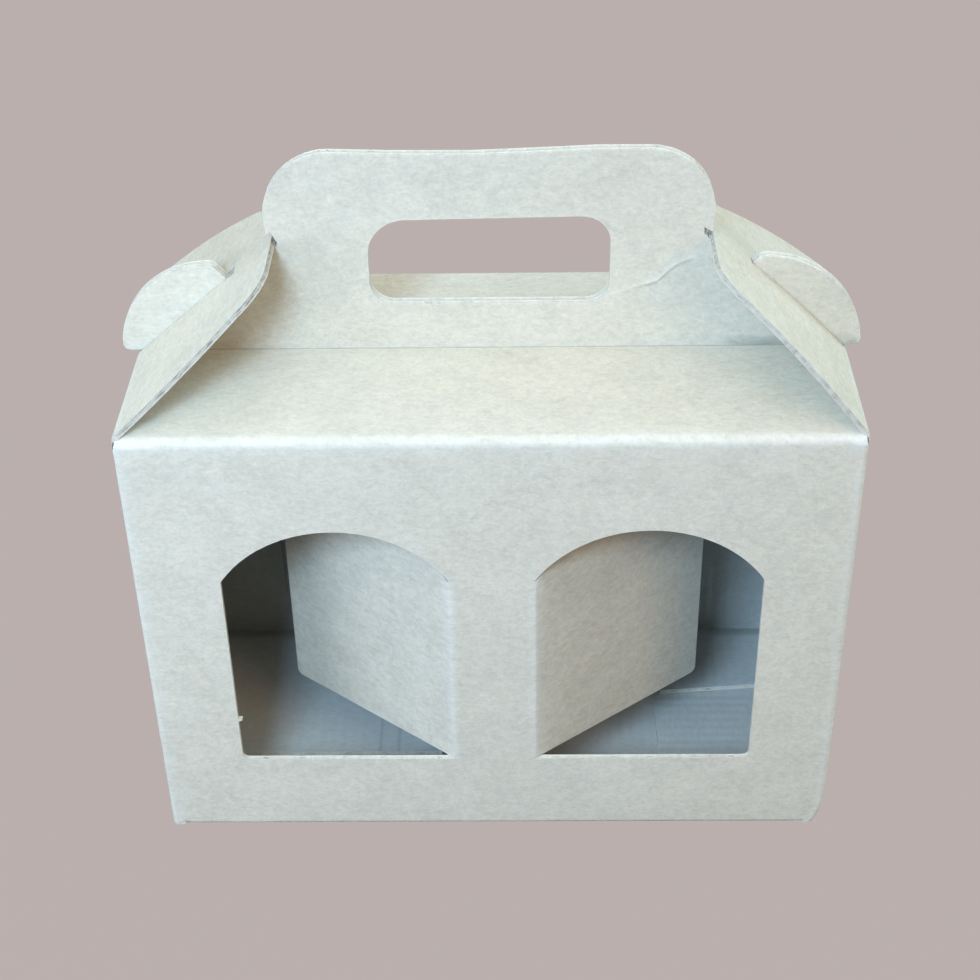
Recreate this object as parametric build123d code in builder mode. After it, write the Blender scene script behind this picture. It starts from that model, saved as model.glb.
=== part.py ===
from build123d import *
from math import atan2, cos, degrees, hypot, radians, sin
import os

# Carrier box for two jars, folded from one die-cut blank of fine-flute corrugated board
# and glued along one corner. The front wall faces -Y, and the origin lies on the ground
# under the middle of the box. Lengths are millimetres and angles are degrees.

# Board, folds and knife lines
board = 1.5
fold_radius = 2.0
inner_fold_radius = 0.4
ply_gap = 0.2
layer_gap = 0.1
hinge_gap = 0.15
kerf = 0.3
swing_gap = 0.35
overrun = 3.0

# Walls and top panels
box_width = 190.0
box_depth = 87.0
wall_height = 136.0
top_rise = 1.5
top_skirt = 6.0

# Glue tab inside the back wall
glue_tab_width = 25.0
glue_tab_taper = 6.0
glue_tab_end_inset = 5.0

# Carrying handle, two plies of it back to back
handle_height = 59.4
handle_width = 115.6
handle_foot_taper = 0.4
handle_foot_height = 35.5
handle_foot_rise = 7.0
handle_corner_radius = 15.5
notch_depth = 3.1
notch_rise = 1.3
grip_width = 62.8
grip_height = 25.2
grip_base = 15.0
grip_corner_radius = 7.0

# Half-moon ears at the ends of the handle panels
ear_sag_angle = 3.1
ear_height = 12.8
ear_crown_shift = 0.9
ear_tip_height = 4.9
ear_heel_reach = 4.4
ear_heel_radius = 2.0

# Lock flaps on the side walls, which reach from their creases to the handle's notches
lock_bridge = 14.6
lock_flap_end_width = 34.0
lock_flap_base_inset = 0.9
shoulder_width = 55.6
shoulder_run_share = 0.82
side_bulge = 1.7
corner_bulge = 1.6
left_lock_sag_angle = 3.1
right_lock_sag_angle = 0.9

# Windows in the front wall, and the flaps cut out of them
window_gap = 22.6
window_width = 60.6
window_sill = 27.3
window_side = 63.5
window_rise = 16.4
window_corner_radius = 2.6
window_flap_angle = 37.5

# Snap-lock floor of four flaps
floor_trim = 8.5
ramp_run = 8.0
back_leg_depth = 34.9
back_middle_depth = 17.5
leg_gap = 1.0
side_flap_trim = 10.5
side_flap_taper = 10.0
tongue_width = 101.0
tongue_neck = 15.0
tongue_climb = 22.0
tongue_tip = 9.0
tongue_tip_gap = 8.5
tongue_corner_radius = 7.0

# Places worked out from the sizes
side_x = box_width / 2
front_y = box_depth / 2
hinge_x = side_x - board / 2
hinge_z = wall_height
crease_z = wall_height + top_rise
handle_top_z = wall_height + handle_height
under_gap = board / 2 + swing_gap
handle_foot_x = handle_width / 2 - handle_foot_taper
handle_foot_z = hinge_z + handle_foot_height
neck_x = handle_foot_x - notch_depth
foot_reach = hypot(hinge_x - handle_foot_x, handle_foot_height)
foot_angle = degrees(atan2(handle_foot_height, hinge_x - handle_foot_x))
lock_flap_length = foot_reach - swing_gap
left_lock_angle = foot_angle - left_lock_sag_angle
right_lock_angle = foot_angle - right_lock_sag_angle
ear_angle = foot_angle - ear_sag_angle
ear_tip_run = lock_flap_length - lock_bridge
ear_crown_run = ear_tip_run / 2 - ear_crown_shift
slot_length = hypot(ear_tip_run, ear_tip_height) + swing_gap
slot_width = ply_gap + (board + swing_gap) * 2
crease_x = window_gap / 2
jamb_x = crease_x + window_width
spring_z = window_sill + window_side
crown_z = spring_z + window_rise
middle_layer_z = board + layer_gap
upper_layer_z = middle_layer_z + board + layer_gap
tongue_layer_z = upper_layer_z + board + layer_gap

os.makedirs("parts", exist_ok=True)


def on_lock_line(side, angle, run, rise):
    """Point of the handle's plane, run along a lock flap from its crease and rise above it.

    side is 1 on the right and -1 on the left, and angle is the flap's lean above level.
    """
    x = hinge_x - run * cos(radians(angle)) + rise * sin(radians(angle))
    z = hinge_z + run * sin(radians(angle)) + rise * cos(radians(angle))
    return (side * x, z)


# The top panels end where they clear the undersides of the lock flaps
top_clear_angle = min(left_lock_angle, right_lock_angle)
top_clear_rise = top_rise + swing_gap + board / 2 * cos(radians(top_clear_angle))
top_clear_run = top_clear_rise / sin(radians(top_clear_angle))
top_x = on_lock_line(1, top_clear_angle, top_clear_run, -board / 2)[0]


# Carton: four walls in a ring, folded top panels with the two handle plies,
# the glue tab and the four floor flaps, all one blank.
with BuildPart() as carton:
    # Ring of walls with folded corners
    with BuildSketch():
        RectangleRounded(box_width, box_depth, fold_radius)
        inner_width = box_width - board * 2
        inner_depth = box_depth - board * 2
        RectangleRounded(inner_width, inner_depth, inner_fold_radius, mode=Mode.SUBTRACT)
    extrude(amount=wall_height - board / 2 - hinge_gap)
    foot_edges = edges().group_by(Axis.Z)[0].sort_by(Axis.Y)
    fillet(foot_edges.filter_by(GeomType.LINE)[0], radius=board / 2)

    # Front top panel, folded off the front wall and rising a little to the handle's crease
    with BuildSketch(Plane.YZ) as top_fold:
        with BuildLine():
            Polyline(
                (-front_y, wall_height - top_skirt),
                (-front_y, wall_height),
                (-ply_gap / 2 - board, crease_z),
                (-ply_gap / 2, crease_z),
                (-ply_gap / 2, crease_z - board),
                (-front_y + board, wall_height - board),
                (-front_y + board, wall_height - top_skirt),
                close=True,
            )
        make_face()
        outer_corner = vertices().group_by(Axis.X)[0].sort_by(Axis.Y)[-1]
        fillet(outer_corner, radius=fold_radius)
        lower_corner = vertices().group_by(Axis.X)[-1].sort_by(Axis.Y)[0]
        fillet(lower_corner, radius=board - inner_fold_radius)
    extrude(amount=top_x, both=True)

    # Front handle ply: grip panel above, spread foot below, an ear at each end
    with BuildSketch(Plane.XZ.offset(ply_gap / 2)):
        with BuildLine():
            foot_shoulder_z = handle_foot_z + handle_foot_rise
            Polyline(
                (-neck_x, handle_foot_z + notch_rise),
                (-handle_foot_x, handle_foot_z),
                (-handle_width / 2, foot_shoulder_z),
                (-handle_width / 2, handle_top_z),
                (handle_width / 2, handle_top_z),
                (handle_width / 2, foot_shoulder_z),
                (handle_foot_x, handle_foot_z),
                (neck_x, handle_foot_z + notch_rise),
                close=True,
            )
        make_face()
        fillet(vertices().group_by(Axis.Y)[-1], radius=handle_corner_radius)
        with BuildLine():
            notch_run = foot_reach + notch_depth / 2
            Polyline(
                (-top_x, crease_z - board / 2),
                (-top_x, crease_z),
                on_lock_line(-1, left_lock_angle, ear_tip_run, -under_gap),
                on_lock_line(-1, left_lock_angle, notch_run, -under_gap),
                (-neck_x, handle_foot_z + notch_rise),
                (neck_x, handle_foot_z + notch_rise),
                on_lock_line(1, right_lock_angle, notch_run, -under_gap),
                on_lock_line(1, right_lock_angle, ear_tip_run, -under_gap),
                (top_x, crease_z),
                (top_x, crease_z - board / 2),
                close=True,
            )
        make_face()
        for side in (-1, 1):
            with BuildLine():
                heel = (side * (hinge_x + ear_heel_reach), crease_z - board / 4)
                crown = on_lock_line(side, ear_angle, ear_crown_run, ear_height)
                tip = on_lock_line(side, ear_angle, ear_tip_run, ear_tip_height)
                tip_root = on_lock_line(side, ear_angle, ear_tip_run, -under_gap - board)
                heel_root = (side * (top_x - board), crease_z - board / 4)
                ThreePointArc(heel, crown, tip)
                Polyline(tip, tip_root, heel_root, heel)
            make_face()
            heel_corner = vertices().sort_by(Axis.X)[-1 if side > 0 else 0]
            fillet(heel_corner, radius=ear_heel_radius)
        with Locations((0, wall_height + grip_base + grip_height / 2)):
            RectangleRounded(grip_width, grip_height, grip_corner_radius, mode=Mode.SUBTRACT)
    extrude(amount=board)

    # Back top panel and back handle ply, the mirror image of the front ones
    mirror(about=Plane.XZ)

    # Windows with straight sides, a flat arch and small outer lower corners
    with BuildSketch(Plane.XZ.offset(front_y + overrun)):
        for side in (-1, 1):
            cut_x = side * (crease_x - board / 2 - hinge_gap)
            middle_x = side * (crease_x + window_width / 2)
            with BuildLine():
                ThreePointArc(
                    (side * crease_x, spring_z), (middle_x, crown_z), (side * jamb_x, spring_z)
                )
                Polyline(
                    (side * jamb_x, spring_z),
                    (side * jamb_x, window_sill),
                    (cut_x, window_sill),
                    (cut_x, spring_z),
                    (side * crease_x, spring_z),
                )
            make_face()
        sill_corners = vertices().group_by(Axis.Y)[0].sort_by(Axis.X)
        fillet([sill_corners[0], sill_corners[-1]], radius=window_corner_radius)
    extrude(amount=-board - overrun * 2, mode=Mode.SUBTRACT)

    # Glue tab from the left wall, lying on the inside of the back wall
    with BuildSketch(Plane.XZ.offset(-front_y + board)):
        tab_x = -side_x + board
        tab_low_z = tongue_layer_z + glue_tab_end_inset
        tab_high_z = wall_height - top_skirt - glue_tab_end_inset
        with BuildLine():
            Polyline(
                (tab_x, tab_low_z),
                (tab_x + glue_tab_width, tab_low_z + glue_tab_taper),
                (tab_x + glue_tab_width, tab_high_z - glue_tab_taper),
                (tab_x, tab_high_z),
                close=True,
            )
        make_face()
    extrude(amount=board)

    # Back floor flap, uppermost: a ramp off the wall, a middle and two legs
    floor_x = side_x - floor_trim
    ramp_y = front_y - ramp_run
    with BuildSketch(Plane.YZ):
        with BuildLine():
            Polyline(
                (front_y - board / 2, 0),
                (front_y - board / 2, board),
                (ramp_y, upper_layer_z + board),
                (ramp_y, upper_layer_z),
                close=True,
            )
        make_face()
    extrude(amount=floor_x, both=True)
    with BuildSketch(Plane.XY.offset(upper_layer_z)):
        leg_y = front_y - back_leg_depth
        middle_y = front_y - back_middle_depth
        leg_x = tongue_width / 2 + leg_gap
        with BuildLine():
            Polyline(
                (-floor_x, ramp_y),
                (-floor_x, leg_y),
                (-leg_x, leg_y),
                (-leg_x, middle_y),
                (leg_x, middle_y),
                (leg_x, leg_y),
                (floor_x, leg_y),
                (floor_x, ramp_y),
                close=True,
            )
        make_face()
    extrude(amount=board)

    # Side floor flaps, tucked under the back flap's legs
    for side in (-1, 1):
        ramp_x = hinge_x - ramp_run
        with BuildSketch(Plane.XZ):
            with BuildLine():
                Polyline(
                    (side * hinge_x, 0),
                    (side * hinge_x, board),
                    (side * ramp_x, middle_layer_z + board),
                    (side * ramp_x, middle_layer_z),
                    close=True,
                )
            make_face()
        side_flap_y = front_y - side_flap_trim
        extrude(amount=side_flap_y, both=True)
        with BuildSketch(Plane.XY.offset(middle_layer_z)):
            with BuildLine():
                Polyline(
                    (side * ramp_x, -side_flap_y),
                    (side * leg_x, -side_flap_y + side_flap_taper),
                    (side * leg_x, side_flap_y - side_flap_taper),
                    (side * ramp_x, side_flap_y),
                    close=True,
                )
            make_face()
        extrude(amount=board)

    # Front floor flap, lowest, and its tongue that climbs onto the back flap's middle
    with BuildSketch():
        tip_y = front_y - board - tongue_tip_gap
        rest_y = tip_y - tongue_tip
        climb_y = rest_y - tongue_climb
        flap_y = climb_y - tongue_neck
        with BuildLine():
            Polyline(
                (-floor_x, -front_y + board / 2),
                (-floor_x, flap_y),
                (-tongue_width / 2, flap_y),
                (-tongue_width / 2, climb_y),
                (tongue_width / 2, climb_y),
                (tongue_width / 2, flap_y),
                (floor_x, flap_y),
                (floor_x, -front_y + board / 2),
                close=True,
            )
        make_face()
    extrude(amount=board)
    with BuildSketch(Plane.YZ):
        with BuildLine():
            Polyline(
                (climb_y, 0),
                (rest_y, tongue_layer_z),
                (tip_y, tongue_layer_z),
                (tip_y, tongue_layer_z + board),
                (rest_y, tongue_layer_z + board),
                (climb_y, board),
                close=True,
            )
        make_face()
    extrude(amount=tongue_width / 2, both=True)
    tongue_ends = edges().filter_by(Axis.Z).filter_by_position(
        Axis.Z, tongue_layer_z, tongue_layer_z + board
    )
    tongue_ends = tongue_ends.filter_by_position(Axis.Y, tip_y - layer_gap, tip_y + layer_gap)
    fillet(tongue_ends, radius=tongue_corner_radius)

carton.part.label = "carton"
export_step(carton.part, "parts/carton.step")

# Lock flaps: creased to the side walls, slotted from the crease for the ears,
# with the end caught in the handle's notches.
lock_base_y = front_y - lock_flap_base_inset
shoulder_run = lock_flap_length * shoulder_run_share
end_y = lock_flap_end_width / 2
shoulder_y = shoulder_width / 2
edge_middle = (shoulder_run / 2, (lock_base_y + shoulder_y) / 2 + side_bulge)
corner_middle = (
    (shoulder_run + lock_flap_length) / 2 + corner_bulge,
    (shoulder_y + end_y) / 2 + corner_bulge,
)


def lock_flap_plane(side, angle):
    """Plane of a lock flap's board, with x from the crease to the flap's free end."""
    return Plane(
        origin=(side * hinge_x, 0, hinge_z),
        x_dir=(-side * cos(radians(angle)), 0, sin(radians(angle))),
        z_dir=(side * sin(radians(angle)), 0, cos(radians(angle))),
    )


with BuildPart() as left_lock_flap:
    with BuildSketch(lock_flap_plane(-1, left_lock_angle)):
        with BuildLine():
            ThreePointArc((0, lock_base_y), edge_middle, (shoulder_run, shoulder_y))
            ThreePointArc((shoulder_run, shoulder_y), corner_middle, (lock_flap_length, end_y))
            Line((lock_flap_length, end_y), (lock_flap_length, 0))
            mirror(about=Plane.XZ)
            Line((0, -lock_base_y), (0, lock_base_y))
        make_face()
    extrude(amount=board / 2, both=True)
    with BuildSketch(Plane.XZ):
        with Locations((-hinge_x, hinge_z)):
            Circle(board / 2)
    extrude(amount=lock_base_y, both=True)
    with BuildSketch(lock_flap_plane(-1, left_lock_angle)):
        with Locations(((slot_length - overrun) / 2, 0)):
            Rectangle(slot_length + overrun, slot_width)
    extrude(amount=overrun, both=True, mode=Mode.SUBTRACT)

left_lock_flap.part.label = "left_lock_flap"
export_step(left_lock_flap.part, "parts/left_lock_flap.step")

with BuildPart() as right_lock_flap:
    with BuildSketch(lock_flap_plane(1, right_lock_angle)):
        with BuildLine():
            ThreePointArc((0, lock_base_y), edge_middle, (shoulder_run, shoulder_y))
            ThreePointArc((shoulder_run, shoulder_y), corner_middle, (lock_flap_length, end_y))
            Line((lock_flap_length, end_y), (lock_flap_length, 0))
            mirror(about=Plane.XZ)
            Line((0, -lock_base_y), (0, lock_base_y))
        make_face()
    extrude(amount=board / 2, both=True)
    with BuildSketch(Plane.XZ):
        with Locations((hinge_x, hinge_z)):
            Circle(board / 2)
    extrude(amount=lock_base_y, both=True)
    with BuildSketch(lock_flap_plane(1, right_lock_angle)):
        with Locations(((slot_length - overrun) / 2, 0)):
            Rectangle(slot_length + overrun, slot_width)
    extrude(amount=overrun, both=True, mode=Mode.SUBTRACT)

right_lock_flap.part.label = "right_lock_flap"
export_step(right_lock_flap.part, "parts/right_lock_flap.step")

# Window flaps: the panels cut from the windows, creased at the windows' inner sides
# and swung in between the jars.
flap_reach = window_width - kerf
flap_middle = (board + flap_reach) / 2
flap_foot_z = window_sill + kerf
flap_spring_z = spring_z - kerf
flap_crown_z = crown_z - kerf


def window_flap_plane(side):
    """Plane of a window flap's board, with x from the crease to the flap's free side."""
    swing = radians(window_flap_angle)
    return Plane(
        origin=(side * crease_x, -front_y + board / 2, 0),
        x_dir=(side * cos(swing), sin(swing), 0),
        z_dir=(sin(swing), -side * cos(swing), 0),
    )


with BuildPart() as left_window_flap:
    with BuildSketch(window_flap_plane(-1)):
        with BuildLine():
            ThreePointArc(
                (board, flap_spring_z), (flap_middle, flap_crown_z), (flap_reach, flap_spring_z)
            )
            Polyline(
                (flap_reach, flap_spring_z),
                (flap_reach, flap_foot_z),
                (0, flap_foot_z),
                (0, flap_spring_z),
                (board, flap_spring_z),
            )
        make_face()
        fillet(vertices().group_by(Axis.Y)[0].sort_by(Axis.X)[-1], radius=window_corner_radius)
    extrude(amount=board / 2, both=True)
    with BuildSketch(Plane.XY.offset(flap_foot_z)):
        with Locations((-crease_x, -front_y + board / 2)):
            Circle(board / 2)
    extrude(amount=flap_spring_z - flap_foot_z)

left_window_flap.part.label = "left_window_flap"
export_step(left_window_flap.part, "parts/left_window_flap.step")

with BuildPart() as right_window_flap:
    with BuildSketch(window_flap_plane(1)):
        with BuildLine():
            ThreePointArc(
                (board, flap_spring_z), (flap_middle, flap_crown_z), (flap_reach, flap_spring_z)
            )
            Polyline(
                (flap_reach, flap_spring_z),
                (flap_reach, flap_foot_z),
                (0, flap_foot_z),
                (0, flap_spring_z),
                (board, flap_spring_z),
            )
        make_face()
        fillet(vertices().group_by(Axis.Y)[0].sort_by(Axis.X)[-1], radius=window_corner_radius)
    extrude(amount=board / 2, both=True)
    with BuildSketch(Plane.XY.offset(flap_foot_z)):
        with Locations((crease_x, -front_y + board / 2)):
            Circle(board / 2)
    extrude(amount=flap_spring_z - flap_foot_z)

right_window_flap.part.label = "right_window_flap"
export_step(right_window_flap.part, "parts/right_window_flap.step")
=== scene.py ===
from math import atan2, cos, degrees, hypot, pi, radians, sin, tan

import bpy
import numpy as np
from mathutils import Matrix, Vector
from mathutils.geometry import delaunay_2d_cdt


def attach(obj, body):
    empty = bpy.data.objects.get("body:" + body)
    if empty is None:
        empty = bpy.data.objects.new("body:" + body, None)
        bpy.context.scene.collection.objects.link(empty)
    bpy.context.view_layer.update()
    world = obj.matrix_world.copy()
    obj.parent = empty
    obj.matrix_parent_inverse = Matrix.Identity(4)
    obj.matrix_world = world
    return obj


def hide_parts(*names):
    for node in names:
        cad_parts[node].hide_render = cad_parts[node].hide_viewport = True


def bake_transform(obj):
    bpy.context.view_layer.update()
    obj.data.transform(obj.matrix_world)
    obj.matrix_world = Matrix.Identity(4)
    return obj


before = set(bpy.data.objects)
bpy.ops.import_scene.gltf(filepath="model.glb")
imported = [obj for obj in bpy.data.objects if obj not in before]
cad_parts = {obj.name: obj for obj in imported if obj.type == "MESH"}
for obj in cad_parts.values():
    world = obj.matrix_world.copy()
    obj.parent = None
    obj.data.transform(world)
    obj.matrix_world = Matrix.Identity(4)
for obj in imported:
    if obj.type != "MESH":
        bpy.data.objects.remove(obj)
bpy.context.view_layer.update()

# Board: fine-flute corrugated, two kraft liners glued to a wavy medium. The liners' fibres
# run round the box and the flutes run up and down it. Cut edges show the open flutes.
# Lengths are millimetres on the flat blank, and the mesh is put down in metres.
metre = 0.001
board = 1.5
half_board = board / 2
flute_pitch = 3.3
flute_swing = 0.34
edge_levels = np.array([0.75, 0.53, 0.40, 0.13, -0.13, -0.40, -0.53, -0.75])
edge_step = 0.55
tunnel_depth = 1.3
tunnel_depth_along = 0.35
worn_width, rim_wear, tunnel_shade = 0.5, 0.22, 0.9
medium_half, medium_fade, liner_level = 0.10, 0.16, 0.5
row_room, grid_room, mark_room = worn_width * 0.8, worn_width * 1.9, 0.4
blank_uv_scale = 0.01
sharp_angle = 35
pairs_at_once = 20_000_000


def arc_points(first, middle, last, count=40):
    """Points of the circle through three places, from the first through the middle to the last.

    The centre is where the two chords' perpendiculars meet, and the angle runs evenly.
    """
    (ax, ay), (bx, by), (cx, cy) = first, middle, last
    d = 2 * (ax * (by - cy) + bx * (cy - ay) + cx * (ay - by))
    a2, b2, c2 = ax * ax + ay * ay, bx * bx + by * by, cx * cx + cy * cy
    ux = (a2 * (by - cy) + b2 * (cy - ay) + c2 * (ay - by)) / d
    uy = (a2 * (cx - bx) + b2 * (ax - cx) + c2 * (bx - ax)) / d
    turns = np.unwrap([atan2(y - uy, x - ux) for x, y in (first, middle, last)])
    angle = np.linspace(turns[0], turns[2], count)
    radius = hypot(ax - ux, ay - uy)
    return np.column_stack([ux + radius * np.cos(angle), uy + radius * np.sin(angle)])


def rounded(before, corner, after, radius, count=12):
    """Points of a corner rounded to a radius, tangent to both its sides."""
    before, corner, after = (np.array(p, float) for p in (before, corner, after))
    u = (before - corner) / np.linalg.norm(before - corner)
    v = (after - corner) / np.linalg.norm(after - corner)
    half = np.arccos(np.clip(u @ v, -1, 1)) / 2
    centre = corner + (u + v) / np.linalg.norm(u + v) * radius / np.sin(half)
    first = corner + u * radius / np.tan(half)
    last = corner + v * radius / np.tan(half)
    turns = np.unwrap([atan2(*(p - centre)[::-1]) for p in (first, last)])
    angle = np.linspace(turns[0], turns[1], count)
    return centre + radius * np.column_stack([np.cos(angle), np.sin(angle)])


def cut_line(points):
    """A closed knife line, stepped evenly along each straight run, anticlockwise."""
    corners = np.array(points, float)
    ends = np.roll(corners, -1, axis=0)
    counts = np.maximum(1, np.round(np.linalg.norm(ends - corners, axis=1) / edge_step)).astype(int)
    runs = [a + (b - a) * np.arange(n)[:, None] / n for a, b, n in zip(corners, ends, counts)]
    line = np.concatenate(runs)
    x, y = line.T
    area = np.sum(x * np.roll(y, -1) - y * np.roll(x, -1))
    return line if area > 0 else line[::-1]


def inside(points, loops):
    """Even-odd test: a point is inside where a ray from it crosses the loops an odd number of times."""
    a = np.concatenate(loops)
    b = np.concatenate([np.roll(loop, -1, axis=0) for loop in loops])
    found = []
    for part in np.array_split(points, max(1, len(points) * len(a) // pairs_at_once)):
        x, y = part[:, :1], part[:, 1:]
        spans = (a[:, 1] > y) != (b[:, 1] > y)
        rise = np.where(b[:, 1] == a[:, 1], 1.0, b[:, 1] - a[:, 1])
        crossing = a[:, 0] + (y - a[:, 1]) / rise * (b[:, 0] - a[:, 0])
        found.append(np.sum(spans & (x < crossing), axis=1) % 2 == 1)
    return np.concatenate(found)


def clear_of(points, line, room):
    """Points further than room from every step of a knife line."""
    kept = []
    for part in np.array_split(points, max(1, len(points) * len(line) // pairs_at_once)):
        gap = (part[:, None, 0] - line[:, 0]) ** 2 + (part[:, None, 1] - line[:, 1]) ** 2
        kept.append(gap.min(axis=1) > room * room)
    return np.concatenate(kept)


def beside(line, distance):
    """Points a distance off a closed line, square to it."""
    way = np.roll(line, -1, axis=0) - np.roll(line, 1, axis=0)
    way /= np.maximum(np.linalg.norm(way, axis=1), 1e-9)[:, None]
    return line + distance * np.column_stack([-way[:, 1], way[:, 0]])


def board_piece(
    name, loops, across, along, fold, seam, open_share, materials, whitening_and_highlight, dark_shading, marks=None
):
    """A piece of corrugated board, cut flat and folded up.

    The blank is triangulated inside its knife lines, with a row of points close inside them
    and closer points about its marks. Both liners take that triangulation at plus and minus
    half the board, and the knife lines get a wall of rows that sinks in between the medium's
    wave and the liners, as far as the knife left the flutes open, and whose open tunnels get
    painted shade. fold carries a place on the blank and its height off the middle to the
    folded box. seam says where the board runs on uncut. The whitening argument gives its
    broken fibres, partly painted highlight along folds, and the shading argument its dark
    lines, most of them painted shade in tight creases.
    """
    lines = [cut_line(loop) for loop in loops]
    rim = np.concatenate(lines)
    row = np.concatenate([beside(line, way * worn_width) for line in lines for way in (1, -1)])
    row = row[inside(row, lines)]
    row = row[clear_of(row, rim, row_room)]
    grid = np.stack(np.meshgrid(across, along), -1).reshape(-1, 2)
    grid = grid[inside(grid, lines)]
    grid = grid[clear_of(grid, rim, grid_room)]
    if marks is not None:
        grid = np.concatenate([grid[clear_of(grid, marks, mark_room)], marks])
    grid = np.concatenate([row, grid])
    counts = [len(line) for line in lines]
    starts = np.concatenate([[0], np.cumsum(counts)[:-1]])
    ring = np.concatenate([
        np.column_stack([np.arange(n), np.roll(np.arange(n), -1)]) + first
        for first, n in zip(starts, counts)
    ])
    flat = np.concatenate([rim, grid])
    result = delaunay_2d_cdt(flat.tolist(), ring.tolist(), [], 1, 1e-7)
    place = np.array([v[:] for v in result[0]])
    sides = np.array(result[2])
    if len(lines) > 1:
        sides = sides[~inside(place[sides].mean(axis=1), lines[1:])]
    used, sides = np.unique(sides, return_inverse=True)
    place, sides = place[used], sides.reshape(-1, 3)
    first, second, third = place[sides[:, 0]], place[sides[:, 1]], place[sides[:, 2]]
    area = np.cross(second - first, third - first)
    sides = np.where(area[:, None] > 0, sides, sides[:, ::-1])[np.abs(area) > 1e-9]

    # Open sides of the triangulation, each with the board on its left
    edges = np.concatenate([sides[:, [0, 1]], sides[:, [1, 2]], sides[:, [2, 0]]])
    key = np.sort(edges, axis=1)
    _, where, count = np.unique(key, axis=0, return_inverse=True, return_counts=True)
    edges = edges[count[where.ravel()] == 1]
    step = place[edges[:, 1]] - place[edges[:, 0]]
    inward = np.column_stack([-step[:, 1], step[:, 0]]) / np.linalg.norm(step, axis=1)[:, None]
    lean = np.zeros((len(place), 2))
    np.add.at(lean, edges[:, 0], inward)
    np.add.at(lean, edges[:, 1], inward)
    rim_id, local = np.unique(edges, return_inverse=True)
    local = local.reshape(-1, 2)
    lean = lean[rim_id]
    lean /= np.maximum(np.linalg.norm(lean, axis=1), 1e-9)[:, None]

    # Wall of the cut: sunk where neither liner nor medium is met
    rim_place = place[rim_id]
    medium = flute_swing * np.sin(2 * pi * rim_place[:, 0] / flute_pitch)
    level = edge_levels[1:-1, None]
    hollow = np.clip((np.abs(level - medium) - medium_half) / medium_fade, 0, 1)
    hollow *= np.abs(level) < liner_level
    depth = tunnel_depth_along + (tunnel_depth - tunnel_depth_along) * np.abs(lean[:, 1])
    opened = open_share(*rim_place.T)
    depth *= opened
    depth = np.where(seam(*rim_place.T), 0, depth)
    wall = rim_place + lean * (hollow * depth)[:, :, None]
    n, m, rows = len(place), len(rim_id), len(edge_levels)
    flat_all = np.concatenate([place, place, wall.reshape(-1, 2)])
    height = np.concatenate([
        np.full(n, half_board), np.full(n, -half_board), np.repeat(edge_levels[1:-1], m)
    ])
    row_id = np.vstack([
        rim_id, 2 * n + np.arange((rows - 2) * m).reshape(rows - 2, m), rim_id + n
    ])
    a, b = row_id[:, local[:, 0]], row_id[:, local[:, 1]]
    quads = np.stack([b[:-1], a[:-1], a[1:], b[1:]], -1).reshape(-1, 4)

    points = fold(flat_all[:, 0], flat_all[:, 1], height) * metre
    mesh = bpy.data.meshes.new(name)
    mesh.from_pydata(
        points, [], sides.tolist() + (sides[:, ::-1] + n).tolist() + quads.tolist()
    )
    mesh.update()
    faces = len(mesh.polygons)
    kind = np.zeros(faces, np.int32)
    kind[len(sides):2 * len(sides)] = 1
    kind[2 * len(sides):] = 2
    for material in materials:
        mesh.materials.append(material)
    mesh.polygons.foreach_set("material_index", kind)
    corner = np.zeros(len(mesh.loops), np.int32)
    mesh.loops.foreach_get("vertex_index", corner)
    blank = mesh.uv_layers.new(name="blank")
    blank.uv.foreach_set("vector", (flat_all[corner] * blank_uv_scale).ravel())
    # Whitening from broken fibres and worn rims, partly painted highlight along folds.
    whitened_and_highlit = whitening_and_highlight(*flat_all.T)
    at_rim = np.concatenate([rim_id, rim_id + n])
    whitened_and_highlit[at_rim] = np.maximum(whitened_and_highlit[at_rim], np.where(seam(*flat_all[at_rim].T), 0, rim_wear))
    shaded = dark_shading(*flat_all.T)
    # Painted shade: the open flutes' tunnels in the cut's wall are darkened as far as they are open.
    shaded[2 * n:] = (hollow * np.where(depth > 0, opened, 0) * tunnel_shade).ravel()
    for label, values in (("crease", whitened_and_highlit), ("score", shaded)):
        stored = mesh.attributes.new(label, "FLOAT", "POINT")
        stored.data.foreach_set("value", values.astype(np.float32))
    mesh.shade_smooth()
    mesh.set_sharp_from_angle(angle=radians(sharp_angle))
    piece = bpy.data.objects.new(name, mesh)
    bpy.context.collection.objects.link(piece)
    return piece


def link(tree, start, end):
    """Joins two sockets of a node tree."""
    tree.links.new(start, end)


def node(tree, kind, **settings):
    """A new node of a tree, with its settings by name."""
    made = tree.nodes.new(kind)
    for name, value in settings.items():
        setattr(made, name, value)
    return made


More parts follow.
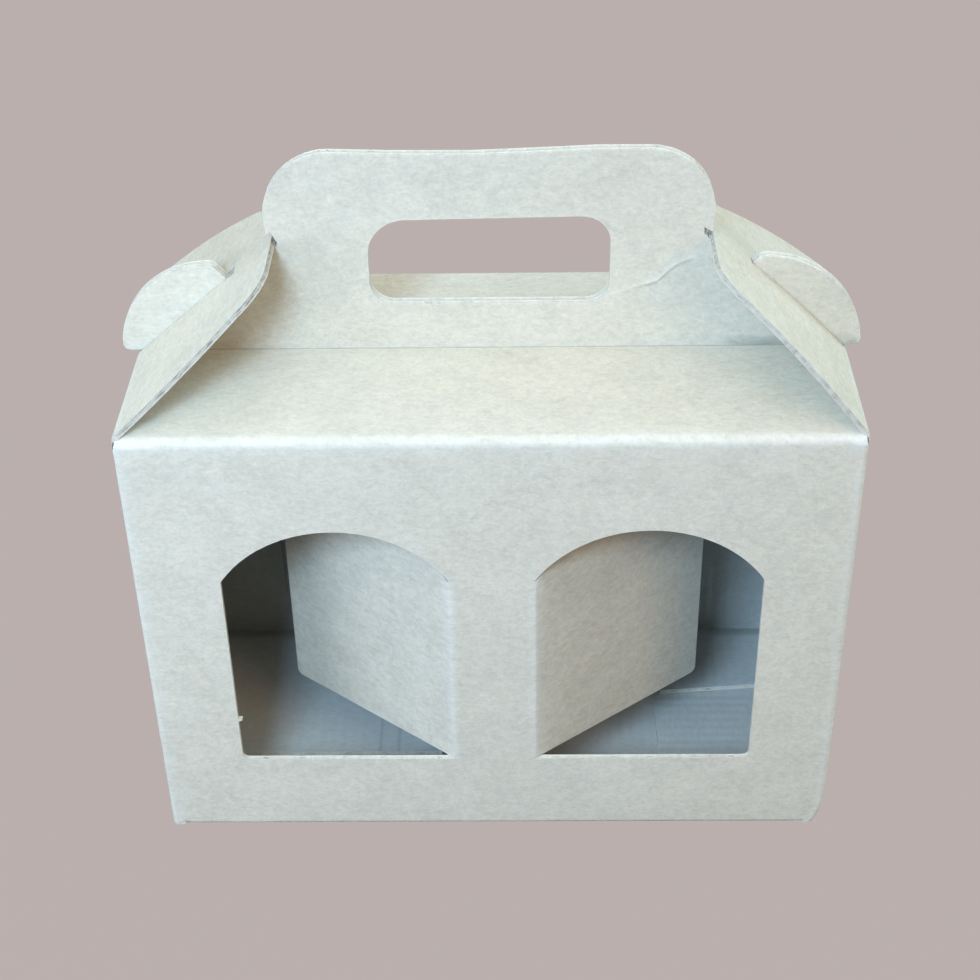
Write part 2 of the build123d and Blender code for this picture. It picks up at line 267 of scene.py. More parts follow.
def kraft_group():
    """Shader group for kraft paper, read from the blank's UV map, where a hundredth is a millimetre.

    Colour is the tone times one plus its noises: wide clouds, mottled blotches, streaks drawn
    out along the fibres, and fine grain. A slow noise moves it between warm and cool, and
    single dark and pale fibres are cut from two stretched noises that another one bends.
    A crease's broken fibres mix towards white, which also paints highlights on folds and ridges,
    and the shading input is painted shade: it darkens the paper in tight creases and open flutes.
    Height adds the grain, the streaks, the blotches and the flutes' wave read through the liner.
    """
    sway_reach, warm_swing, painted_shade_depth = 0.03, 0.045, 0.7
    plain_roughness, grain_roughness = 0.86, 0.25
    group = bpy.data.node_groups.new("kraft_paper", "ShaderNodeTree")
    face = group.interface
    colour, number = "NodeSocketColor", "NodeSocketFloat"
    for name in ("Tone", "Crease Tone"):
        face.new_socket(name, in_out="INPUT", socket_type=colour)
    for name in ("Crease", "Score", "Mottle", "Streaks", "Grain", "Fibres", "Flutes"):
        face.new_socket(name, in_out="INPUT", socket_type=number)
    for name, kind in (("Color", colour), ("Roughness", number), ("Height", number)):
        face.new_socket(name, in_out="OUTPUT", socket_type=kind)
    inp = node(group, "NodeGroupInput")
    out = node(group, "NodeGroupOutput")
    blank = node(group, "ShaderNodeUVMap", uv_map="blank")

    def noise(place, scale_x, scale_y, detail, roughness, shift):
        """Noise with its own stretch along and across the fibres, about zero."""
        spread = node(group, "ShaderNodeMapping")
        spread.inputs["Scale"].default_value = (scale_x, scale_y, 1)
        spread.inputs["Location"].default_value = (shift, shift * 1.7, shift * 0.3)
        link(group, place, spread.inputs["Vector"])
        made = node(group, "ShaderNodeTexNoise", noise_dimensions="3D")
        made.inputs["Scale"].default_value = 1
        made.inputs["Detail"].default_value = detail
        made.inputs["Roughness"].default_value = roughness
        link(group, spread.outputs["Vector"], made.inputs["Vector"])
        return math("SUBTRACT", made.outputs["Fac"], 0.5)

    def fed(made, *values):
        """A node's first output, with its inputs set to numbers or joined to sockets."""
        for socket, value in zip(made.inputs, values):
            if isinstance(value, (int, float)):
                socket.default_value = value
            else:
                link(group, value, socket)
        return made.outputs[0]

    def math(operation, first, second, clamp=False):
        """One step of arithmetic between two sockets or numbers."""
        return fed(node(group, "ShaderNodeMath", operation=operation, use_clamp=clamp), first, second)

    def joined(x, y, z):
        """A vector of three sockets or numbers."""
        return fed(node(group, "ShaderNodeCombineXYZ"), x, y, z)

    def vector(operation, first, second):
        """One step of vector arithmetic between two sockets."""
        return fed(node(group, "ShaderNodeVectorMath", operation=operation), first, second)

    flat = blank.outputs["UV"]
    sway = joined(math("MULTIPLY", noise(flat, 24, 24, 1, 0.5, 5.3), sway_reach),
                  math("MULTIPLY", noise(flat, 24, 24, 1, 0.5, 9.1), sway_reach), 0)
    bent = vector("ADD", flat, sway)
    clouds = noise(flat, 7, 9, 2, 0.5, 3.1)
    mottle = noise(bent, 44, 62, 3, 0.65, 2.2)
    streaks = noise(bent, 26, 95, 2, 0.5, 7.7)
    grain = noise(flat, 110, 150, 3, 0.65, 1.3)
    blotch = math("ADD", math("MULTIPLY", clouds, 0.5), mottle)
    shade = math("ADD", math("MULTIPLY", blotch, inp.outputs["Mottle"]),
                 math("MULTIPLY", streaks, inp.outputs["Streaks"]))
    shade = math("ADD", shade, math("MULTIPLY", grain, inp.outputs["Grain"]))
    dark = math("MULTIPLY", math("SUBTRACT", noise(bent, 34, 160, 1, 0.5, 11.9), 0.13), 8, clamp=True)
    pale = math("MULTIPLY", math("SUBTRACT", noise(bent, 30, 140, 1, 0.5, 23.3), 0.13), 8, clamp=True)
    fibres = math("MULTIPLY", math("SUBTRACT", pale, dark), inp.outputs["Fibres"])
    shade = math("ADD", math("ADD", shade, fibres), 1)
    # Painted shade: the attribute read into this input darkens the paper in tight creases and open flutes,
    # by up to seventy percent.
    painted_shade = math("MULTIPLY", inp.outputs["Score"], painted_shade_depth)
    shade = math("MULTIPLY", shade, math("SUBTRACT", 1, painted_shade))
    warmth = math("MULTIPLY", noise(bent, 20, 28, 3, 0.6, 15.7), warm_swing)
    tint = vector("MULTIPLY", inp.outputs["Tone"],
                  joined(math("ADD", 1, warmth), 1, math("SUBTRACT", 1, math("MULTIPLY", warmth, 1.4))))
    tint = vector("MULTIPLY", tint, joined(shade, shade, shade))
    patchy = math("ADD", math("MULTIPLY", streaks, 1.6), math("MULTIPLY", grain, 1.2))
    broken = math("MULTIPLY", inp.outputs["Crease"], math("ADD", patchy, 0.9), clamp=True)
    mixed = node(group, "ShaderNodeMix", data_type="RGBA", clamp_factor=True)
    link(group, broken, mixed.inputs["Factor"])
    link(group, tint, mixed.inputs["A"])
    link(group, inp.outputs["Crease Tone"], mixed.inputs["B"])
    link(group, mixed.outputs["Result"], out.inputs["Color"])
    rough = math("ADD", plain_roughness, math("MULTIPLY", grain, grain_roughness))
    link(group, rough, out.inputs["Roughness"])
    split = node(group, "ShaderNodeSeparateXYZ")
    link(group, flat, split.inputs["Vector"])
    wave = math("SINE", math("MULTIPLY", split.outputs["X"], 2 * pi / (flute_pitch * blank_uv_scale)), 0)
    wave = math("MULTIPLY", wave, math("ADD", 0.8, math("MULTIPLY", clouds, 3)))
    relief = math("ADD", math("MULTIPLY", wave, inp.outputs["Flutes"]),
                  math("MULTIPLY", grain, 0.4))
    relief = math("ADD", relief, math("MULTIPLY", math("ADD", streaks, mottle), 0.7))
    link(group, relief, out.inputs["Height"])
    return group


kraft = kraft_group()
# Whitened tone for broken fibres, also used for painted highlights on folds and ridges.
whitening_and_highlight_tone, paper_gloss, bump_depth = (0.82, 0.81, 0.76), 0.25, 0.0002


def kraft_material(name, tone, mottle, streaks, grain, fibres, flutes, relief):
    """Kraft paper of one tone, with how strongly each part of its texture shows."""
    material = bpy.data.materials.new(name)
    material.use_nodes = True
    tree = material.node_tree
    shader = tree.nodes["Principled BSDF"]
    shader.inputs["Specular IOR Level"].default_value = paper_gloss
    paper = node(tree, "ShaderNodeGroup", node_tree=kraft)
    paper.inputs["Tone"].default_value = (*tone, 1)
    paper.inputs["Crease Tone"].default_value = (*whitening_and_highlight_tone, 1)
    for socket, value in (("Mottle", mottle), ("Streaks", streaks), ("Grain", grain),
                          ("Fibres", fibres), ("Flutes", flutes)):
        paper.inputs[socket].default_value = value
    # The first attribute whitens the paper, partly as painted highlight, and the second darkens it with
    # painted shade.
    for socket in ("Crease", "Score"):
        stored = node(tree, "ShaderNodeAttribute", attribute_name=socket.lower())
        link(tree, stored.outputs["Fac"], paper.inputs[socket])
    link(tree, paper.outputs["Color"], shader.inputs["Base Color"])
    link(tree, paper.outputs["Roughness"], shader.inputs["Roughness"])
    bump = node(tree, "ShaderNodeBump")
    bump.inputs["Strength"].default_value = relief
    bump.inputs["Distance"].default_value = bump_depth
    link(tree, paper.outputs["Height"], bump.inputs["Height"])
    link(tree, bump.outputs["Normal"], shader.inputs["Normal"])
    return material


outer_tone, inner_tone = (0.705, 0.652, 0.545), (0.565, 0.575, 0.545)
cut_tone = (0.75, 0.71, 0.62)
outer_liner = kraft_material("outer_liner", outer_tone, 0.34, 0.13, 0.34, 0.04, 0.05, 0.35)
inner_liner = kraft_material("inner_liner", inner_tone, 0.22, 0.14, 0.18, 0.04, 0.45, 0.45)
cut_edge = kraft_material("cut_edge", cut_tone, 0.20, 0.10, 0.40, 0.10, 0.0, 0.3)
liners = (outer_liner, inner_liner, cut_edge)

# Carton: one blank scored and folded round into four walls, glued at the back left corner by
# a tab inside the back wall. Two top panels carry the two handle plies with their half-moon
# ears, and four floor flaps snap together underneath.
side_x, front_y, wall_height = 95.0, 43.5, 136.0
wall_x, wall_y = side_x - half_board, front_y - half_board
corner_radius = 0.8
corner_arc = corner_radius * pi / 2
front_flat, side_flat = wall_x - corner_radius, wall_y - corner_radius
tab_y, tab_width, tab_taper, tab_low, tab_high = 41.2, 25.0, 6.0, 9.8, 125.0
back_end_x = 94.2


def folded_line(low, high, heading, bends, anchor, spot):
    """A line of board seen edge-on, as runs joined by round bends.

    The heading starts at one angle and turns evenly through each bend, given as where it
    starts, how long it is and its turn in degrees. The line is the running sum of the
    heading's cosine and sine, moved so that it passes through spot at anchor.
    """
    step = 0.02
    t = np.arange(low, high + step, step)
    angle = np.full(len(t), float(heading))
    for begin, length, turn in bends:
        angle += turn * np.clip((t - begin) / length, 0, 1)
    angle = np.radians(angle)
    middle = (angle[1:] + angle[:-1]) / 2
    a = np.concatenate([[0], np.cumsum(np.cos(middle) * step)])
    b = np.concatenate([[0], np.cumsum(np.sin(middle) * step)])
    a += spot[0] - np.interp(anchor, t, a)
    b += spot[1] - np.interp(anchor, t, b)
    return lambda where: tuple(np.interp(where, t, value) for value in (a, b, angle))


right_begin = front_flat + corner_arc
right_end = right_begin + side_flat * 2
back_begin = right_end + corner_arc
left_begin = -right_begin
left_end = left_begin - (side_flat + tab_y - corner_radius)
tab_begin = left_end - corner_arc
front_mid, right_mid = 0.0, (right_begin + right_end) / 2
back_mid, left_mid = back_begin + front_flat, -(right_begin + right_end) / 2
blank_end, tab_end = back_mid + back_end_x, tab_begin - (tab_width - 0.5)
ring_line = folded_line(
    tab_end - 5, blank_end + 5, -180,
    [(tab_begin, corner_arc, 90), (left_begin, corner_arc, 90),
     (front_flat, corner_arc, 90), (right_end, corner_arc, 90)],
    0.0, (0.0, -wall_y),
)

# Folds up and down a wall: the top panel's fold, the handle's crease, the floor's folds
top_slope_angle, top_fold_radius, crease_radius, ply_gap = 2.0, 1.8, 0.8, 0.2
top_turn = 90 - top_slope_angle
handle_y = ply_gap / 2 + half_board
top_reach = wall_y - handle_y
top_corner_z = wall_height - half_board / cos(radians(top_slope_angle))
crease_corner_z = top_corner_z + top_reach * tan(radians(top_slope_angle))
top_tangent = top_fold_radius * tan(radians(top_turn / 2))
crease_tangent = crease_radius * tan(radians(top_turn / 2))
top_begin = top_corner_z - top_tangent
top_end = top_begin + top_fold_radius * radians(top_turn)
crease_begin = top_end + top_reach / cos(radians(top_slope_angle)) - top_tangent - crease_tangent
crease_end = crease_begin + crease_radius * radians(top_turn)
handle_shift = crease_end - (crease_corner_z + crease_tangent)
top_bends = [(top_begin, top_end - top_begin, top_turn),
             (crease_begin, crease_end - crease_begin, -top_turn)]
floor_radius, floor_z, kink = 0.75, 0.75, 1.6
climb_rise, climb_run = 4.8, 22.0
climb_angle = degrees(atan2(climb_rise, climb_run))
climb_y, tongue_run, tip_run = 2.5, climb_run / cos(radians(climb_angle)), 9.0
floor_bend = floor_radius * pi / 2
floor_begin = floor_z + floor_radius - floor_bend
climb_at = floor_begin - (wall_y + climb_y - floor_radius)
rest_at = climb_at - tongue_run
tip_at = rest_at - tip_run
front_line = folded_line(
    tip_at - 5, 245, 0,
    [(rest_at - kink / 2, kink, -climb_angle), (climb_at - kink / 2, kink, climb_angle),
     (floor_begin, floor_bend, 90)] + top_bends,
    60.0, (0.0, 60.0),
)


def ramp_fold(rise, run, radius):
    """Floor fold of a flap that ramps up on to the layer below.

    Gives where each bend starts, its length and its turn, and where the ramp ends.
    """
    angle = degrees(atan2(rise, run))
    length = hypot(rise, run)
    tangent = radius * tan(radians((90 + angle) / 2))
    arc = radius * radians(90 + angle)
    begin = floor_z + tangent - arc
    ramp_at = begin - (length - tangent)
    return [(ramp_at - kink / 2, kink, -angle), (begin, arc, 90 + angle)], ramp_at


back_rise, back_run, back_radius = 3.2, 7.25, 0.6
side_rise, side_run, side_radius = 1.6, 8.0, 0.7
back_floor, back_ramp_at = ramp_fold(back_rise, back_run, back_radius)
side_floor, side_ramp_at = ramp_fold(side_rise, side_run, side_radius)
back_line = folded_line(-60, 245, 0, back_floor + top_bends, 60.0, (0.0, 60.0))
side_line = folded_line(-60, 245, 0, side_floor, 60.0, (0.0, 60.0))

top_front_x, back_top_x, top_back_x, wall_top, relief = 94.6, 92.9, 91.1, 135.3, 0.16
floor_x, side_flap_y = 86.5, 33.0
lock_seam, lock_strip_y, lock_strip_back_y = 133.0, 41.6, 39.8
crease_x, strip_width = 11.3, 2.0
front_fold_x, back_fold_x = 91.0, 90.5
front_bound, back_bound = 100, 172
floor_bound, slit_z, handle_bound = 1.7, 1.72, 170


def smooth(share):
    """Smoothstep: three squares less two cubes, held at nought and one."""
    share = np.clip(share, 0, 1)
    return share * share * (3 - 2 * share)


wrinkle_x = np.array([30.0, 35.4, 39.3, 43.7, 46.9, 49.4, 53.5])
wrinkle_z = np.array([152.9, 154.6, 156.1, 157.5, 161.0, 162.8, 164.3])


def wrinkle(q, s):
    """Height of the wrinkle across the handle's right: a round ridge along its line, a hollow below it."""
    along = np.interp(q, wrinkle_x, wrinkle_z) + handle_shift
    off = (s - along) * 0.8
    share = np.clip((q - wrinkle_x[0]) / (wrinkle_x[-1] - wrinkle_x[0]), 0, 1)
    growth = 0.25 + 0.75 * smooth((share - 0.3) / 0.25)
    ridge = 0.3 * np.exp(-(off / 0.45) ** 2)
    hollow = 0.1 * np.exp(-((off + 0.95) / 0.5) ** 2)
    return growth * np.sin(pi * share) ** 0.7 * (ridge - hollow)


square_rise, square_run = 6, 2.5
knock_x, knock_y, knock_run_x, knock_run_y, knock_height, knock_push = 84, 34, 11, 8, 11, 2.8


def carton_fold(q, s, h):
    """Carries the blank to the folded carton.

    q runs round the walls and s up them. Between the floor and top folds a point sits on the
    ring of walls. Below and above them it leaves its own wall along that wall's fold line,
    e outwards and z up. h is added along the board's normal. The front wall's top corners
    are drawn out square towards the fold, and its right foot is knocked in.
    """
    x, y, heading = ring_line(q)
    h = h + wrinkle(q, s)
    ring = np.column_stack([x + h * np.sin(heading), y - h * np.cos(heading), s])
    front, right = np.abs(q) < front_bound, (q >= front_bound) & (q < back_bound)
    held = np.clip(q, -top_front_x - relief / 2, top_front_x + relief / 2)
    held_x, held_y, held_heading = ring_line(held)
    square = smooth((s - top_begin + square_rise) / square_rise)
    square *= smooth(1 - np.abs(q - held) / square_run)
    ring += square[:, None] * np.column_stack([
        held - held_x - h * np.sin(held_heading),
        -wall_y - h - held_y + h * np.cos(held_heading),
        0 * s,
    ])
    back = q >= back_bound
    centre = np.select([front, right, back], [front_mid, right_mid, back_mid], left_mid)
    reach = np.select([front, back], [front_fold_x, back_fold_x], side_flap_y)
    on_floor = (s < floor_bound) & (np.abs(q - centre) < reach + relief / 2)
    top_reach_x = np.where(front, top_front_x, back_top_x) + relief / 2
    on_top = (np.abs(q - centre) < top_reach_x) | (s > handle_bound)
    on_top &= (front | back) & (s > top_begin - 0.1)
    lines = [np.array(line(s)) for line in (front_line, side_line, back_line)]
    e, z, rise = np.where(front, lines[0], np.where(back, lines[2], lines[1]))
    e = e + h * np.sin(rise)
    z = z - h * np.cos(rise)
    w = q - centre
    folded_x = np.select([front, right, back], [w, wall_x + e, -w], -wall_x - e)
    folded_y = np.select([front, right, back], [-wall_y - e, w, wall_y + e], -w)
    folded = np.column_stack([folded_x, folded_y, z])
    place = np.where((on_floor | on_top)[:, None], folded, ring)
    x, y, z = place.T
    knock = smooth((x - knock_x) / knock_run_x) * smooth((-y - knock_y) / knock_run_y)
    knock *= np.clip((knock_height - z) / knock_height, 0, 1) ** 2
    return place - knock[:, None] * (knock_push, 0, 0)


def on_lock_line(side, angle, run, rise):
    """Place in the handle's plane, run along a lock flap from its crease and rise above it."""
    a = radians(angle)
    return (side * (wall_x - run * cos(a) + rise * sin(a)), wall_height + run * sin(a) + rise * cos(a))


handle_top_z, handle_x = 194.4, 57.8
handle_top_x = (-43.0, -24.5, -4.4, 13.2, 28.2, 43.0)
handle_sag = (-0.2, -0.8, -1.0, -0.4, 0.2, 0.1)
sag_from_z, sag_run = 180, 10
left_handle_radius, right_handle_radius, ear_tip_radius, ear_heel_radius = 18.0, 17.0, 3.2, 2.0
front_shoulder_x, back_shoulder_x, shoulder_rise = 93.4, 92.6, 1.2
foot_x, foot_z, foot_shoulder_z = 57.4, 171.5, 178.5
neck_z = 172.8
left_neck_x, right_neck_x, hidden_neck_x = 56.3, 55.2, 56.8
grip_x, grip_low_z, grip_high_z, grip_drop = 31.4, 151.0, 176.3, 0.9
grip_radii = (6.5, 6.5, 7.5, 10.0)
foot_angle = degrees(atan2(foot_z - wall_height, wall_x - foot_x))
foot_reach = hypot(foot_z - wall_height, wall_x - foot_x)
lock_length = foot_reach - 0.35
left_lock_angle, right_lock_angle = foot_angle - 3.1, foot_angle - 0.9
ear_angle, ear_height, ear_tip_height, ear_heel_x = foot_angle - 3.1, 12.8, 6.0, wall_x + 4.4
ear_tip_run = lock_length - 14.6
left_ear_tip_run = ear_tip_run - 2.0
ear_crown_run = ear_tip_run / 2 - 0.9
under_gap = half_board + 0.35
ear_low_z = crease_corner_z + crease_tangent + 0.05


def handle_half(side, lock_angle, radius, neck_x, tip_run):
    """Knife line of one half of a handle panel, from the top panel's side up to the handle's top."""
    heel = (side * ear_heel_x, ear_low_z)
    root = (side * top_back_x, ear_low_z)
    crown = on_lock_line(side, ear_angle, ear_crown_run, ear_height)
    tip = on_lock_line(side, ear_angle, tip_run, ear_tip_height)
    crown_arc = arc_points(heel, crown, tip, 60)
    heel_arc = rounded(root, heel, crown_arc[6], ear_heel_radius)
    tip_foot = on_lock_line(side, ear_angle, tip_run, -under_gap)
    tip_arc = rounded(crown_arc[-6], tip, tip_foot, ear_tip_radius, 14)
    upper = [
        on_lock_line(side, lock_angle, tip_run, -under_gap),
        on_lock_line(side, lock_angle, foot_reach + (foot_x - neck_x) / 2, -under_gap),
        (side * neck_x, neck_z),
        (side * foot_x, foot_z),
        (side * handle_x, foot_shoulder_z),
    ]
    corner = rounded(upper[-1], (side * handle_x, handle_top_z), (0, handle_top_z), radius, 30)
    line = np.concatenate([[root], heel_arc, crown_arc[7:-9], tip_arc, upper, corner])
    return line + (0, handle_shift)


def handle_line(centre, turned):
    """A whole handle panel from one side of its top panel to the other, at its place on the blank.

    The back panel is seen turned round, so its left lock flap is on its right.
    """
    necks = (hidden_neck_x, hidden_neck_x) if turned else (right_neck_x, left_neck_x)
    halves = [(right_lock_angle, right_handle_radius, necks[0], ear_tip_run),
              (left_lock_angle, left_handle_radius, necks[1], left_ear_tip_run)]
    right_half, left_half = halves[::-1] if turned else halves
    way = -1 if turned else 1
    fold_x = back_top_x if turned else top_front_x
    shoulder_x = back_shoulder_x if turned else front_shoulder_x
    edge = np.array([(fold_x, top_begin - 0.05), (shoulder_x, top_end + shoulder_rise)])
    right = np.concatenate([edge, handle_half(1, *right_half)])
    left = np.concatenate([edge * (-1, 1), handle_half(-1, *left_half)])
    top = [(x * way, handle_top_z + handle_shift) for x in handle_top_x[1:-1]]
    line = np.concatenate([right, top if turned else top[::-1], left[::-1]])
    upper = smooth((line[:, 1] - handle_shift - sag_from_z) / sag_run)
    line[:, 1] += upper * np.interp(line[:, 0] * way, handle_top_x, handle_sag)
    return line + (centre, 0)


def floor_slits(centre, reach, line):
    """A floor flap's line with a short slit at each side of its fold, so the wall's foot stays straight."""
    slit = np.array([(reach, slit_z), (reach + relief, slit_z), (reach + relief, wall_foot)])
    return np.concatenate([(slit * (-1, 1))[::-1], line, slit]) + (centre, 0)


wall_foot = 0.15
front_flap_y, flap_taper = 12.5, 6
flap_at = floor_begin - (wall_y - front_flap_y - floor_radius)
tongue_x, tongue_radius = 50.5, 7.0
front_floor_line = np.concatenate([
    [(-front_fold_x, floor_begin), (-floor_x, floor_begin - flap_taper)],
    [(-floor_x, flap_at), (-tongue_x, flap_at)],
    rounded((-tongue_x, flap_at), (-tongue_x, tip_at), (0, tip_at), tongue_radius),
    rounded((0, tip_at), (tongue_x, tip_at), (tongue_x, flap_at), tongue_radius),
    [(tongue_x, flap_at), (floor_x, flap_at)],
    [(floor_x, floor_begin - flap_taper), (front_fold_x, floor_begin)],
])
leg_x, left_leg_x, long_leg_x = tongue_x + 0.5, tongue_x + 0.1, 16.5
taper_y, recess_y, leg_y, leg_inner_y, step_y, long_leg_y = 31.0, 26.0, 12.2, 8.8, 8.5, -28.0
side_overlap, side_taper = 1.5, 10


def back_at(y):
    """Place along the blank of a line across the back floor flap's flat part."""
    return back_ramp_at - (wall_y - y - back_run)


back_floor_line = [
    (-back_fold_x, floor_begin), (-back_fold_x, back_ramp_at),
    (-floor_x, back_at(taper_y)), (-floor_x, back_at(leg_y)),
    (-leg_x, back_at(leg_inner_y)), (-leg_x, back_at(recess_y)), (left_leg_x, back_at(recess_y)),
    (left_leg_x, back_at(step_y)), (long_leg_x, back_at(step_y)), (long_leg_x, back_at(long_leg_y)),
    (floor_x, back_at(long_leg_y)), (floor_x, back_at(taper_y)),
    (back_fold_x, back_ramp_at), (back_fold_x, floor_begin),
]
side_at = side_ramp_at - (wall_x - side_run - tongue_x + side_overlap)
side_floor_line = [(-side_flap_y, side_ramp_at), (-side_flap_y + side_taper, side_at),
                   (side_flap_y - side_taper, side_at), (side_flap_y, side_ramp_at)]


def lock_gap(centre, low, high):
    """Where a side wall stops short for its lock flap's strip, from right to left."""
    gap = [(high, wall_top), (high, lock_seam), (low, lock_seam), (low, wall_top)]
    return np.array(gap) + (centre, 0)


def top_slit(line):
    """A top panel's line with a short slit at each side of its fold."""
    first, last = line[0], line[-1]
    return np.concatenate([
        [(first[0] + relief, wall_top), (first[0] + relief, first[1])], line,
        [(last[0] - relief, last[1]), (last[0] - relief, wall_top)],
    ])


tab_edge, tab_root, tab_step = tab_begin - 0.3, tab_begin + 0.05, 1.0
carton_outline = np.concatenate([
    [(tab_end, tab_low + tab_taper), (tab_edge, tab_low)],
    [(tab_root, tab_low - tab_step), (tab_root, wall_foot)],
    floor_slits(left_mid, side_flap_y, side_floor_line),
    floor_slits(front_mid, front_fold_x, front_floor_line),
    floor_slits(right_mid, side_flap_y, side_floor_line),
    floor_slits(back_mid, back_fold_x, back_floor_line),
    [(blank_end, wall_foot), (blank_end, wall_top)],
    top_slit(handle_line(back_mid, True)),
    lock_gap(right_mid, -lock_strip_y, lock_strip_y),
    top_slit(handle_line(front_mid, False)),
    lock_gap(left_mid, -lock_strip_back_y, lock_strip_y),
    [(tab_root, wall_top), (tab_root, tab_high + tab_step)],
    [(tab_edge, tab_high), (tab_end, tab_high - tab_taper)],
])


def grip_hole(centre, way):
    """Hand hole's knife line, a rounded oblong a little lower and rounder at the top left."""
    low, high = grip_low_z + handle_shift, grip_high_z + handle_shift
    corners = [(-grip_x, low), (grip_x, low), (grip_x, high), (-grip_x, high - grip_drop)]
    line = np.concatenate([
        rounded(corners[i - 1], corners[i], corners[(i + 1) % 4], grip_radii[i]) for i in range(4)
    ])
    return line * (way, 1) + (centre, 0)


window_sill, window_spring, window_crown = 26.3, 90.8, 107.3
jamb_x, window_radius = 71.9, 1.9
torn_fibre = [(jamb_x, 40.9), (jamb_x - 1.1, 41.3), (jamb_x - 1.2, 41.6), (jamb_x, 41.7)]


def window_hole(side):
    """Window's knife line: sill, rounded corner, jamb, flat arch, and the hinge strip's sides.

    A torn fibre stands out of the left window's jamb.
    """
    crown = ((jamb_x + crease_x) / 2, window_crown)
    line = np.concatenate([
        [(crease_x - strip_width, window_sill)],
        rounded((crease_x, window_sill), (jamb_x, window_sill), (jamb_x, window_spring), window_radius),
        np.reshape(torn_fibre if side < 0 else [], (-1, 2)),
        arc_points((jamb_x, window_spring), crown, (crease_x, window_spring), 60),
        [(crease_x - strip_width, window_spring)],
    ])
    return line * (side, 1)


def carton_seam(q, s):
    """Places where the carton runs on into a flap's strip, so the board isn't cut there."""
    room = 0.1
    side_wall = np.abs(np.abs(q) - right_mid) < lock_strip_y + room
    side_wall &= (s > lock_seam - room) & (s < wall_top + room)
    strip = (np.abs(q) < crease_x) & (s > window_sill - room) & (s < window_spring + room)
    return side_wall | strip


def uneven(q, s):
    """A slow uneven measure from nought to one, the product of two waves a little out of step."""
    return 0.5 + 0.5 * np.sin(0.83 * q + 0.21 * s) * np.sin(0.31 * q - 0.17 * s + 1.1)


def near(value, line, width):
    """A soft band about a line: one on it, falling off with the square of the distance."""
    return np.exp(-((value - line) / width) ** 2)


def carton_whitening_and_highlights(q, s):
    """How far each place is whitened by a fold or a wrinkle.

    Soft bands along the top folds, most at the front right corner, partly broken fibres and
    partly painted highlight where the rounded fold catches the light; along the handle's creases;
    painted highlight along the wrinkle's ridge; the walls' corners; and painted highlight on
    the right end of the back floor flap's fold.
    """
    front_or_back = (np.abs(q) < front_bound) | (q > back_bound)
    # Top folds: broken fibres, partly painted highlight of the rounded fold.
    top = near(s, (top_begin + top_end) / 2 - 0.6, 2.2) * front_or_back * (0.32 + 0.4 * near(q, 93, 3))
    valley = near(s, crease_end + 0.5, 0.5) * front_or_back * (0.1 + 0.35 * uneven(q, 40))
    # Painted highlight along the wrinkle's ridge.
    ridge = near(s, np.interp(q, wrinkle_x, wrinkle_z) + handle_shift + 0.15, 0.5)
    ridge *= (q > wrinkle_x[0]) & (q < wrinkle_x[-1])
    corners = sum(near(q, line, 1.3) for line in (
        front_flat + corner_arc / 2, -front_flat - corner_arc / 2, right_end + corner_arc / 2,
        left_end - corner_arc / 2)) * (s < wall_top) * 0.35
    # Painted highlight on the right end of the back floor fold.
    floor_fold = near(s, 1.1, 0.6) * smooth((back_mid - 62 - q) / 6) * (q > back_bound) * 0.6
    return np.clip(top + valley + corners + 0.3 * ridge + floor_fold, 0, 1)


press_marks = (29.8, 35.4)


def carton_shade_and_marks(q, s):
    """Dark lines: painted shade in the handle's tight crease, doubled at its right, and marks pressed in
    the floor's leg.
    """
    front_or_back = (np.abs(q) < front_bound) | (q > back_bound)
    crease_at = (crease_begin + crease_end) / 2
    # Painted shade along the handle's tight crease and the second line beside it.
    valley = near(s, crease_at + 0.1, 0.55) * (0.7 + 0.3 * uneven(q, 40))
    second = near(s, crease_at + 1.0, 0.34) * smooth((q - 60) / 8) * (q < front_bound) * 0.7
    pressed = sum(near(q, back_mid + x, 0.5) for x in press_marks) * (s < -3) * 0.25
    return np.clip((valley + second) * front_or_back + pressed, 0, 1)


def carton_open(q, s):
    """Share of a flute left open at the carton's cuts: the knife crushed nearly all of them shut."""
    return 0.06 + 0.5 * uneven(q, s) ** 4


wrinkle_run = np.arange(wrinkle_x[0], wrinkle_x[-1], 0.5)
wrinkle_rows = (-2.2, -1.6, -1.1, -0.7, -0.35, 0, 0.35, 0.7, 1.2)
wrinkle_line = np.interp(wrinkle_run, wrinkle_x, wrinkle_z) + handle_shift
wrinkle_marks = np.concatenate([np.column_stack([wrinkle_run, wrinkle_line + off]) for off in wrinkle_rows])


def lattice(low, high, spacing, bends):
    """Grid lines a spacing apart, with nine close ones through each bend."""
    lines = [np.arange(low, high, spacing)]
    for begin, length in bends:
        lines.append(np.linspace(begin - 0.3, begin + length + 0.3, 9))
    lines = np.sort(np.concatenate(lines))
    keep = np.concatenate([[True], np.diff(lines) > 0.12])
    return lines[keep]


wall_step, flap_step = 4.2, 2.6
carton_across = lattice(tab_end, blank_end, wall_step, [
    (tab_begin, corner_arc), (left_begin, corner_arc), (front_flat, corner_arc), (right_end, corner_arc),
    (back_mid + press_marks[0] - 0.7, 1.4), (back_mid + press_marks[1] - 0.7, 1.4)])
carton_along = lattice(tip_at, handle_top_z + handle_shift, wall_step, [
    (rest_at - kink / 2, kink), (climb_at - kink / 2, kink), (back_ramp_at - kink / 2, kink),
    (floor_begin, 1.4), (top_begin, top_end - top_begin), (crease_begin, crease_end - crease_begin)])
carton = board_piece(
    "carton_board",
    [carton_outline, grip_hole(front_mid, 1), grip_hole(back_mid, -1), window_hole(1), window_hole(-1)],
    carton_across, carton_along, carton_fold, carton_seam, carton_open, liners, carton_whitening_and_highlights,
    carton_shade_and_marks, wrinkle_marks,
)
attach(carton, "carton")
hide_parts("carton")

